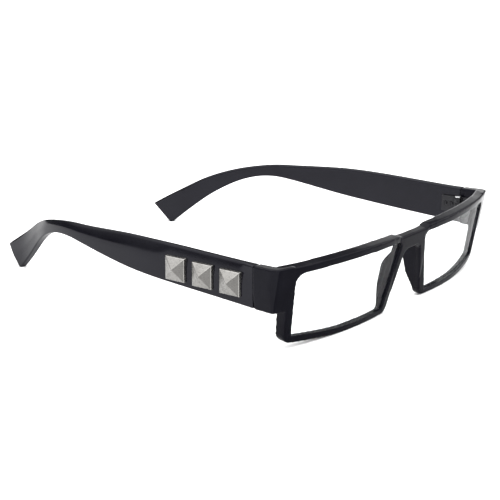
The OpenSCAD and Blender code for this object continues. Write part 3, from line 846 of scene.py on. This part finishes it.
class GLASSES_OT_front(Operator):
    """Round the moulded front and give it glossy black plastic"""

    bl_idname = "glasses.front"
    bl_label = "Front"

    def execute(self, context):
        sizes = context.scene.glasses_front
        look = context.scene.glasses_plastic
        sides = plastic_material(look, "Glossy black plastic", look.side_gloss)
        face = plastic_material(look, "Deep black plastic", look.face_gloss)
        mesh = rounded_front(context, sizes)
        forward = Vector((0, -math.cos(sizes.tilt), -math.sin(sizes.tilt)))
        draft_openings(mesh, sizes, forward)
        for vertex in mesh.vertices:
            vertex.co.z = max(0, vertex.co.z)
        mesh.materials.clear()
        for material in (sides, face):
            mesh.materials.append(material)
        for polygon in mesh.polygons:
            polygon.use_smooth = True
            polygon.material_index = 1 if polygon.normal.dot(forward) > sizes.face_share else 0
        front = bpy.data.objects.new("moulded_front", mesh)
        context.scene.collection.objects.link(front)
        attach(front, "front")
        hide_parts("front_frame")
        return {"FINISHED"}


class GLASSES_OT_temples(Operator):
    """Loft both temples with rounded edges"""

    bl_idname = "glasses.temples"
    bl_label = "Temples"

    def execute(self, context):
        look = context.scene.glasses_plastic
        material = plastic_material(look, "Temple plastic", look.temple_gloss, look.temple_matt)
        for sign, side in SIDES.items():
            bm = TempleForm(context.scene.glasses_temple, "temple_left").build()
            temple = new_object(f"temple_arm_{side}", bm if sign == LEFT else mirrored(bm), material)
            smooth_edges(temple, degrees=60)
            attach(temple, f"temple_{side}")
            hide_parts(f"temple_{side}")
        return {"FINISHED"}


class GLASSES_OT_studs(Operator):
    """Model the square pyramid studs"""

    bl_idname = "glasses.studs"
    bl_label = "Studs"

    def execute(self, context):
        sizes = context.scene.glasses_stud
        lean = context.scene.glasses_temple.lean
        look = context.scene.glasses_metal
        # The second and third nickels are darker copies that paint shade on the facets facing down, back and
        # forward
        nickel_and_painted_shades = (
            nickel_material("Satin nickel", look.nickel, look),
            nickel_material("Nickel, painted shade", look.shaded_nickel, look),
            nickel_material("Nickel, painted deep shade", look.deep_shaded_nickel, look),
        )
        for sign, side in SIDES.items():
            for place in STUD_PLACES:
                node = f"stud_{side}_{place}"
                low, high = (Vector(corner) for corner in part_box(node))
                middle = (low + high) / 2
                outer = high.x if sign == LEFT else -low.x
                bm = pyramid(sizes)
                seat = Matrix.Translation((outer - sizes.reach, middle.y, middle.z))
                bmesh.ops.transform(bm, matrix=seat @ Matrix.Rotation(lean, 4, "Z"), verts=bm.verts)
                stud = new_object(f"pyramid_{side}_{place}", bm if sign == LEFT else mirrored(bm), *nickel_and_painted_shades)
                wear_edges(stud, sizes.edge_r, segments=3, degrees=12)
                smooth_edges(stud)
                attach(stud, f"temple_{side}")
                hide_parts(node)
        return {"FINISHED"}


class GLASSES_OT_lenses(Operator):
    """Give the lenses a clear polished surface"""

    bl_idname = "glasses.lenses"
    bl_label = "Lenses"

    def execute(self, context):
        material = lens_material(context.scene.glasses_lens)
        for side in SIDES.values():
            dress(f"lens_{side}", material)
        return {"FINISHED"}


class GLASSES_OT_hinges(Operator):
    """Finish the hinge leaves and screws with worn edges"""

    bl_idname = "glasses.hinges"
    bl_label = "Hinges"

    def execute(self, context):
        look = context.scene.glasses_metal
        coat, steel = hinge_material(look), screw_material(look)
        for side in SIDES.values():
            for node, material in (
                (f"hinge_front_leaf_{side}", coat),
                (f"hinge_temple_leaf_{side}", coat),
                (f"front_leaf_screws_{side}", coat),
                (f"temple_leaf_screws_{side}", coat),
                (f"hinge_screw_{side}", steel),
            ):
                obj = dress(node, material)
                obj.modifiers.new("Weld", "WELD").merge_threshold = WELD
                wear_edges(obj, HINGE_EDGE, segments=2, degrees=40).harden_normals = True
        return {"FINISHED"}


class GLASSES_OT_stage(Operator):
    """Set up the pale floor, the soft studio light and the photograph's view"""

    bl_idname = "glasses.stage"
    bl_label = "Stage"

    def execute(self, context):
        settings = context.scene.glasses_stage
        bm = bmesh.new()
        bmesh.ops.create_grid(bm, x_segments=8, y_segments=8, size=FLOOR_HALF_WIDTH)
        floor = new_object("Floor", bm, floor_material(settings.floor))

        context.scene.view_settings.view_transform = "Standard"
        context.scene.world = studio_world(settings)
        add_softbox(
            "Overhead softbox",
            place=(0.1, 0.2, 0.9),
            target=(0, 0, 0),
            width=1.2,
            power=settings.softbox,
        )
        add_softbox(
            "Side softbox",
            place=(0.309, 0.076, 0.128),
            target=(0.065, -0.065, 0.025),
            width=0.12,
            power=settings.side_softbox,
        )
        camera = photograph_camera(settings)
        context.scene.collection.objects.link(camera)
        context.scene.camera = camera
        return {"FINISHED"}


STEPS = (
    GLASSES_OT_front,
    GLASSES_OT_temples,
    GLASSES_OT_studs,
    GLASSES_OT_lenses,
    GLASSES_OT_hinges,
    GLASSES_OT_stage,
)


class GLASSES_PT_panel(Panel):
    """Steps that dress the glasses, with their sizes and colours"""

    bl_idname = "GLASSES_PT_panel"
    bl_label = "Reading glasses"
    bl_space_type = "VIEW_3D"
    bl_region_type = "UI"
    bl_category = "Glasses"

    def draw(self, context):
        for step in STEPS:
            self.layout.operator(step.bl_idname)
        for name, group in GROUPS.items():
            box = self.layout.box()
            box.label(text=group.__doc__)
            for prop in group.__annotations__:
                box.prop(getattr(context.scene, name), prop)


GROUPS = {
    "glasses_front": GlassesFrontSizes,
    "glasses_temple": GlassesTempleSizes,
    "glasses_stud": GlassesStudSizes,
    "glasses_plastic": GlassesPlasticLook,
    "glasses_metal": GlassesMetalLook,
    "glasses_lens": GlassesLensLook,
    "glasses_stage": GlassesStageSettings,
}
CLASSES = (*GROUPS.values(), *STEPS, GLASSES_PT_panel)


def register():
    for cls in CLASSES:
        bpy.utils.register_class(cls)
    for name, group in GROUPS.items():
        setattr(bpy.types.Scene, name, PointerProperty(type=group))


def unregister():
    for name in GROUPS:
        delattr(bpy.types.Scene, name)
    for cls in reversed(CLASSES):
        bpy.utils.unregister_class(cls)


def main():
    register()
    for step in STEPS:
        getattr(bpy.ops.glasses, step.bl_idname.split(".")[1])()


if __name__ == "__main__":
    main()
